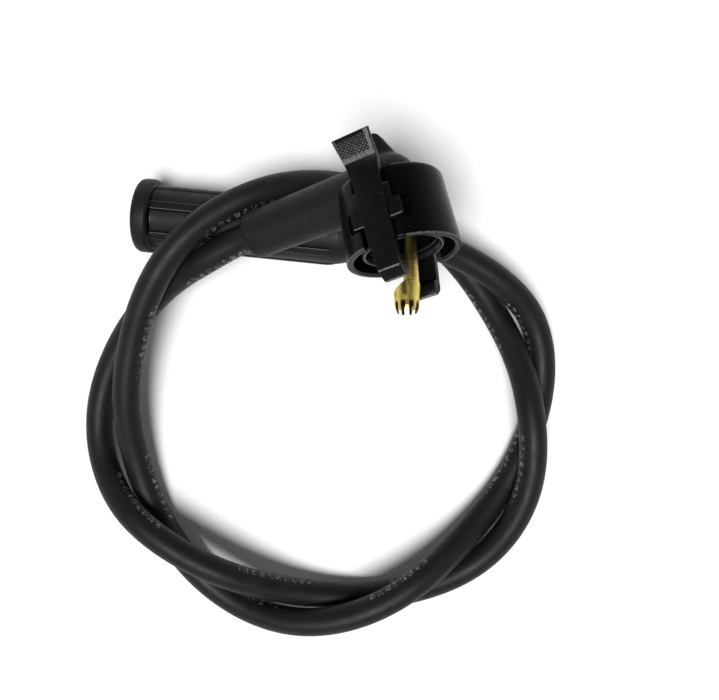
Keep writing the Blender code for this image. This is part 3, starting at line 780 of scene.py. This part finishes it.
GRIP_START = Vector((LATCH_OUTER[0][0], LATCH_OUTER[0][1] - HINGE_OUT))
GRIP_END = Vector((LATCH_OUTER[1][0], LATCH_OUTER[1][1] - HINGE_OUT))
GRIP_LENGTH = (GRIP_END - GRIP_START).length
GRIP_ALONG = (GRIP_END - GRIP_START).normalized()
GRIP_OUT = Vector((-GRIP_ALONG.y, GRIP_ALONG.x))
GRIP_RAISED, GRIP_DEPTH = 0.36, 0.34
GRIP_PITCH, GRIP_SLANT = 0.97, 1.1               # of the lattice; slant makes its meshes lozenges
RIDGE_HALF, PIT_FLANK = 0.12, 0.11               # as shares of the pitch
FRAME_LEFT, FRAME_RIGHT, FRAME_BOTTOM = 0.9, 0.9, 1.35      # widths of the frame round it


def grip_half(v):
    """Half the thumb pad's width at v down it."""
    widths, heights = zip(*LATCH_HALF)
    return np.interp(GRIP_START.x + GRIP_ALONG.x * v, heights, widths) - 0.1


def grip_relief(u, v):
    """Height above the lever's face, and how much painted highlight it gets, at u across and v down the thumb
    pad.
    """
    half = grip_half(v)
    left, right, top, bottom = u + half, half - u, v, GRIP_LENGTH - v
    slopes = (left / 0.7, right / FRAME_RIGHT, (top - 0.1) / 0.5, bottom / FRAME_BOTTOM)
    height = GRIP_RAISED * min(1.0, *slopes)
    if min(left - 1.0, right - 0.9, top - 0.8, bottom - 1.45) > 0:
        p, q = (u + v * GRIP_SLANT) / GRIP_PITCH, (u - v * GRIP_SLANT) / GRIP_PITCH
        from_ridge = min(abs(p - round(p)), abs(q - round(q)))
        pit = min(1.0, max(0.0, (from_ridge - RIDGE_HALF) / PIT_FLANK))
        # Ridges paler than the pits, and paler down the pad: painted highlight
        return height - GRIP_DEPTH * pit, (1.0 - pit) * min(1.0, 0.4 + 0.8 * v / GRIP_LENGTH)
    # Painted highlight on the frame's lower and right slopes, weaker on its left slope
    ragged = 0.16 * math.sin(u * 5.3) + 0.12 * math.sin(u * 11.7 + 1.0) + 0.1 * math.sin(v * 9.1)
    if bottom < FRAME_BOTTOM + ragged or right < FRAME_RIGHT + ragged:
        return height, 1.0
    return height, 0.35 if left < FRAME_LEFT else 0.0


def latch_grip():
    """Raised thumb pad: a lattice of pits in a frame that slopes down to the lever on every side."""
    rows = []
    for v in np.linspace(0.12, GRIP_LENGTH - 0.02, 84):
        half = grip_half(v)
        face, back = [], []
        for u in np.linspace(-half, half, 130):
            spot = GRIP_START + GRIP_ALONG * v + GRIP_OUT * (grip_relief(u, v)[0] + 0.02)
            face.append((u, spot.y, spot.x))
            spot = GRIP_START + GRIP_ALONG * v - GRIP_OUT * 0.4
            back.append((u, spot.y, spot.x))
        rows.append(face + back[::-1])
    return from_grid("grip", rows)


def latch_painted_highlight(place, normal):
    """Painted highlights on the thumb pad, on the hook, and on the edges of the wings and the shoulder."""
    offset = Vector((place.z, place.y)) - GRIP_START
    v, height = offset.dot(GRIP_ALONG), offset.dot(GRIP_OUT)
    if 0.0 < v < GRIP_LENGTH and height > 0.01 and Vector((normal.z, normal.y)).dot(GRIP_OUT) > 0.3:
        return grip_relief(place.x, v)[1]
    hook_z, hook_out = HOOK_CORNER
    on_corner = abs(place.z - hook_z) < 0.25 and abs(place.y + HINGE_OUT - hook_out) < 0.25
    on_tip = place.z > 16.2 and normal.z > 0.5
    # Painted highlight on the hook's corner and tip
    if on_corner or on_tip:
        return 1.0
    if abs(place.x) <= 3.5 or place.y <= WING_HALF.y - 0.25:
        return 0.0
    # Painted highlight on the edges of the wings and the shoulder
    if place.z > WING_HALF.z - 0.2:
        return 0.8
    return 0.5 if abs(place.z - SHOULDER_TOP) < 0.2 else 0.0


def latch(side, look):
    """Squeeze lever with knurled pad, hinge wings, shoulder and hook."""
    name = "front" if side > 0 else "rear"
    section = [(z, y - HINGE_OUT) for z, y in LATCH_OUTER + LATCH_INNER]
    lever = extruded(f"latch_{name}_lever", section, -8.0, 8.0, "zy")
    front = LATCH_HALF + [(-x, z) for x, z in reversed(LATCH_HALF)]
    carved(lever, "INTERSECT", extruded("width", front, -12.0, 12.0, "xz"))
    wings = brick("wings", -WING_HALF, WING_HALF)
    shoulder = brick("shoulder", (-SHOULDER_HALF, -0.3, SHOULDER_TOP), (SHOULDER_HALF, WING_HALF.y, -1.9))
    carved(lever, "UNION", wings, shoulder)
    edged(lever, 0.24, 3, 30.0)
    # Painted highlights on the thumb pad, hook, wings and shoulder
    painted(joined(lever, latch_grip()), "painted_highlight", latch_painted_highlight)
    facing = Matrix.Rotation(FRONT_SKEW, 4, "Y") if side > 0 else Matrix.Rotation(math.pi, 4, "Z")
    hinge = COIL @ Matrix.Translation((0, HINGE_OUT * side, HINGE_HEIGHT)) @ facing
    shaded(placed(lever, hinge, look, f"{name}_latch", "latch_plastic", f"latch_{name}"), 30)


# ---------------------------------------------------------------- coil terminal

STRIP_BEND_R = 3.2                  # of the channel's centre line, round the elbow
SLIT_HALF, SLIT_DEPTH = 0.62, 1.9   # half width, and depth to where the round end starts


def terminal_axis(height):
    """X of the crown's and the channel's axis at a height along the mating direction."""
    return TERMINAL_OFFSET - max(0.0, height - TERMINAL_BEND) * math.tan(TERMINAL_LEAN)


def strip_stations():
    """Where the channel's centre runs, which way its back faces there, and how wide it has grown."""
    back = CROWN_R - STRIP_R[1] - 0.1
    barrel_back = BARREL_R[1] - STRIP_R[1] - 0.1
    stations = [((-9.0, -barrel_back), (0.0, -1.0), 1.0)]
    corner = (terminal_axis(0) + back - STRIP_BEND_R, STRIP_BEND_R - barrel_back)
    for turn in np.linspace(0, math.pi / 2, 13):
        out = (math.sin(turn), -math.cos(turn))
        stations.append(((corner[0] + STRIP_BEND_R * out[0], corner[1] + STRIP_BEND_R * out[1]), out, 1.0))
    lean = (math.cos(TERMINAL_LEAN), math.sin(TERMINAL_LEAN))
    for height in np.linspace(TERMINAL_BEND, CROWN_TOP + 2.0, 16):
        out = (1.0, 0.0) if height <= TERMINAL_BEND else lean
        grown = 1.0 + 0.10 * (height - TERMINAL_BEND) / 18
        stations.append(((terminal_axis(height) + back, height), out, grown))
    return stations


def strip_painted_shade(place, normal):
    """Painted shade: dark brown down in the shell, fading out towards the crown."""
    return min(0.9, max(0.0, (26.5 - place.z) / 6.0))


def terminal_strip():
    """Brass rolled to a channel, which wraps further round as it nears the crown."""
    inner, outer = STRIP_R
    rows = []
    for (x, z), (out_x, out_z), grown in strip_stations():
        wrap = np.interp(z, [16.0, CROWN_TOP], [98.0, 124.0])
        turns = [math.radians(a) for a in np.linspace(-wrap, wrap, 27)]
        section = [(outer * math.cos(a), outer * math.sin(a)) for a in turns]
        section += [(inner * math.cos(a), inner * math.sin(a)) for a in reversed(turns)]
        rows.append([(x + out_x * a * grown, b * grown, z + out_z * a * grown) for a, b in section])
    # Painted shade down in the shell
    return painted(edged(from_grid("strip", rows), 0.1, 2, 50.0), "shade_and_spots", strip_painted_shade)


def crown_shade_and_spots(place, normal):
    """Painted shade: dark brown on the inside faces and where the strip's fold shades the wrap beside it;
    also two small brown dimple spots.
    """
    # Inside faces: painted shade
    if normal.x * place.x + normal.y * place.y < 0.0:
        return 1.0
    turn = math.degrees(math.atan2(place.y, place.x))
    # Beside the strip's fold: painted shade
    fold = max(0.0, 1.0 - abs(turn - 78.0) / 14.0) if place.z < -3.6 else 0.0
    dimple = 0.7 if abs(place.z + 4.4) < 0.25 and min(abs(turn - 104), abs(turn - 124)) < 4 else 0.0
    return max(0.75 * min(1.0, fold * 1.6), dimple)


def terminal_crown():
    """Ring of flared prongs with round-bottomed slits, cut on a slant where it meets the strip."""
    root = CROWN_TOP - CROWN_END
    profile = softened([
        (2.65, 0.0), (2.95, -1.0), (3.15, -3.2), (3.38, root), (2.95, root), (2.72, -3.2), (2.52, -1.0),
        (2.3, 0.1),
    ], 0.12)
    crown = lathe("crown", filled_in(profile, 0.6), full_turn(120))
    arch = [(1.0, -SLIT_HALF), (1.0, SLIT_HALF)]
    for a in np.linspace(0, math.pi, 9):
        arch.append((-SLIT_DEPTH - SLIT_HALF * math.sin(a), SLIT_HALF * math.cos(a)))
    for i in range(CROWN_PRONGS):
        turn = Matrix.Rotation(math.radians(360 * i / CROWN_PRONGS + 6), 4, "Z")
        carved(crown, "DIFFERENCE", moved(extruded("slit", arch, 1.8, 5.0, "zy"), turn))
    slant = brick("slant", (-9.0, -5.0, -9.0), (0.0, 5.0, 0.0))
    moved(slant, Matrix.Translation((1.2, 0, root)) @ Matrix.Rotation(math.radians(33), 4, "Y"))
    carved(crown, "DIFFERENCE", slant)
    # Painted shade inside the crown and along its fold, and two small spots
    painted(edged(crown, 0.07, 2, 40.0), "shade_and_spots", crown_shade_and_spots)
    end = Matrix.Translation((terminal_axis(CROWN_END), 0, CROWN_END))
    seat = end @ Matrix.Rotation(-TERMINAL_LEAN, 4, "Y")
    # knocked a little sideways about its root
    tilt = Matrix.Rotation(math.radians(-5), 4, "X")
    return moved(crown, seat @ Matrix.Translation((0, 0, root)) @ tilt @ Matrix.Translation((0, 0, -root)))


def coil_terminal(look):
    """One folded sheet: crimp barrel, channel round the elbow, slotted crown."""
    low, high = -15.5, -8.0
    ring = [(BARREL_R[1], high), (BARREL_R[1], low), (BARREL_R[0], low), (BARREL_R[0], high)]
    barrel = moved(lathe("barrel", softened(ring, 0.12), full_turn(48)), X_UP)
    terminal = joined(terminal_crown(), terminal_strip(), barrel)
    terminal.name = "coil_terminal_brass"
    shaded(placed(terminal, COIL, look, "lead", "terminal_brass", "coil_terminal"), 35)


# ---------------------------------------------------------------- plug end

RIBS = [math.radians(270 + degrees) for degrees in PLUG_RIBS]
RIB_HALF = 1.15 / PLUG_BODY_R       # radians
RIB_RISE = 0.65
RIB_FROM = 18.4                     # height at which the ribs start, at the cable end


def off_rib(angle):
    """Angle from the middle of the nearest rib."""
    return min(abs((angle - rib + math.pi) % (2 * math.pi) - math.pi) for rib in RIBS)


def ribbed_radius(angle, r, z):
    """The boot's radius with its ribs raised and a fine groove along each rib's foot."""
    if r < BORE_R + 1.5 or z < 17.5 or z > PLUG_LIP_FOOT + 0.2 or r < PLUG_BODY_R - 0.6:
        return r
    off = off_rib(angle)
    rise = 0.85 * min(1.0, max(0.0, (RIB_HALF + 0.005 - off) / 0.010))
    rise += 0.15 * min(1.0, max(0.0, (RIB_HALF - 0.005 - off) / 0.023))
    ends = min(1.0, max(0.0, (z - RIB_FROM) / 0.8))
    foot = max(0.0, 1.0 - abs(off - RIB_HALF - 0.022) / 0.018)
    return max(r, PLUG_BODY_R + RIB_RISE * rise * ends) - 0.16 * foot * ends


def beside_rib(place, low, high):
    """Whether a place on the ribbed stretch is between low and high radians out from a rib's side."""
    outside = math.hypot(place.x, place.y) > PLUG_BODY_R - 0.4
    if not outside or not RIB_FROM + 1.0 < place.z < PLUG_LIP_FOOT - 0.3:
        return False
    return RIB_HALF + low < off_rib(math.atan2(place.y, place.x)) < RIB_HALF + high


def rib_painted_highlight(place, normal):
    """Painted highlight along the top edges of each rib."""
    return 0.9 if beside_rib(place, -0.03, -0.002) else 0.0


def groove_painted_shade(place, normal):
    """Painted shade: a dark line in the groove along each rib, and round the foot of the lip."""
    on_lip_foot = abs(place.z - PLUG_LIP_FOOT + 0.15) < 0.45
    on_lip_foot = on_lip_foot and PLUG_BODY_R - 0.4 < math.hypot(place.x, place.y) < 9.3
    return 1.0 if on_lip_foot or beside_rib(place, 0.004, 0.042) else 0.0


def plug_boot(look):
    """Ribbed straight boot with a rolled lip; the ribs stand on the body in the same skin."""
    outside = [
        (6.2, PLUG_LENGTH, 0.6), (PLUG_LIP_R, PLUG_LENGTH, 1.7), (PLUG_LIP_R, PLUG_LIP_FOOT + 0.3, 1.3),
        (PLUG_BODY_R, PLUG_LIP_FOOT - 0.2, 0.35), (PLUG_BODY_R, 17.0, 3.0), (6.3, 9.0, 2.0), (5.9, 7.0, 1.0),
        (5.9, 0.0, 0.7), (BORE_R, 0.0, 0.3),
    ]
    inside = [
        (BORE_R, 14.0), (4.6, 14.4), (4.6, 20.0), (5.4, 21.6), (5.4, 48.0), (5.0, 48.8), (5.0, 50.0),
        (5.5, 50.8), (5.5, 60.0), (5.1, 60.8), (5.1, 62.0), (5.7, 62.8), (5.7, PLUG_LENGTH - 1.4, 0.5),
    ]
    profile = filled_in(softened(outside + inside, 0.3, 5), 1.6)
    angles = set(full_turn(72).tolist())
    for rib in RIBS:
        for step in (-0.05, -0.028, -0.005, 0.005, 0.022, 0.04):
            angles |= {(rib + RIB_HALF + step) % (2 * math.pi), (rib - RIB_HALF - step) % (2 * math.pi)}
    boot = lathe("plug_boot_rubber", profile, sorted(angles), ribbed_radius)
    # Painted highlight along the top edges of every rib
    painted(boot, "painted_rib_highlight", rib_painted_highlight)
    # Painted shade: dark lines in the grooves beside the ribs and round the foot of the lip
    painted(boot, "painted_shade_glossy", groove_painted_shade)
    shaded(placed(boot, PLUG, look, "lead", "boot_rubber", "plug_boot"), 38)


def plug_socket(look):
    """Rolled steel sleeve with a flared mouth, a crimped barrel and two clip windows."""
    inner, outer = BARREL_R
    profile = softened([
        (4.05, 37.0, 0.15), (3.9, 35.8), (4.0, 34.5), (4.0, 23.0, 0.8), (outer, 21.0, 0.5),
        (outer, 14.6, 0.15), (inner, 14.6, 0.15), (inner, 21.4, 0.5), (3.5, 23.4, 0.8), (3.5, 34.5),
        (3.4, 35.8), (3.55, 37.0, 0.15),
    ], 0.2, 3)
    sleeve = lathe("plug_terminal_sleeve", filled_in(profile, 1.5), full_turn(64))
    for low, high in ((-4.6, -2.6), (2.6, 4.6)):
        carved(sleeve, "DIFFERENCE", brick("window", (low, -2.0, 29.6), (high, 2.0, 31.6)))
    edged(sleeve, 0.08, 2, 40.0)
    shaded(placed(sleeve, PLUG, look, "lead", "plated_steel", "plug_terminal"), 35)


# ---------------------------------------------------------------- build

studio()
rubber_look = rubber("boot_rubber", (0.0055, 0.0058, 0.0051), (0.0088, 0.0091, 0.0081), (0.45, 0.59))
shell_look = moulded(
    "shell_plastic", (0.0013, 0.0015, 0.0015), (0.24, 0.34), grain=2400.0, grain_mm=0.012, gloss=0.08)
latch_look = moulded("latch_plastic", (0.002, 0.0023, 0.0023), (0.34, 0.48), grain=3200.0, grain_mm=0.03)
steel_look = steel()
cable(cable_jacket())
coil_boot(rubber_look)
coil_shell(shell_look)
latch(1, latch_look)
latch(-1, latch_look)
coil_terminal(brass())
plug_boot(rubber_look)
plug_socket(steel_look)

layers = {
    "jacket": rubber("inner_jacket", (0.03, 0.03, 0.03), (0.04, 0.04, 0.04), (0.48, 0.62)),
    "braid": braid(),
    "insulation": cut_end("cable_insulation", (0.52, 0.50, 0.46), (0.62, 0.60, 0.55), 0.6),
    "conductor": cut_end("conductor_core", (0.025, 0.025, 0.025), (0.07, 0.07, 0.07), 0.75),
}
for end_name in ("coil_end", "plug_end"):
    for layer, look in layers.items():
        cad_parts[f"{end_name}_{layer}"].material_slots[0].material = look.material
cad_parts["plug_terminal_clip"].material_slots[0].material = steel_look.material

bpy.context.view_layer.update()
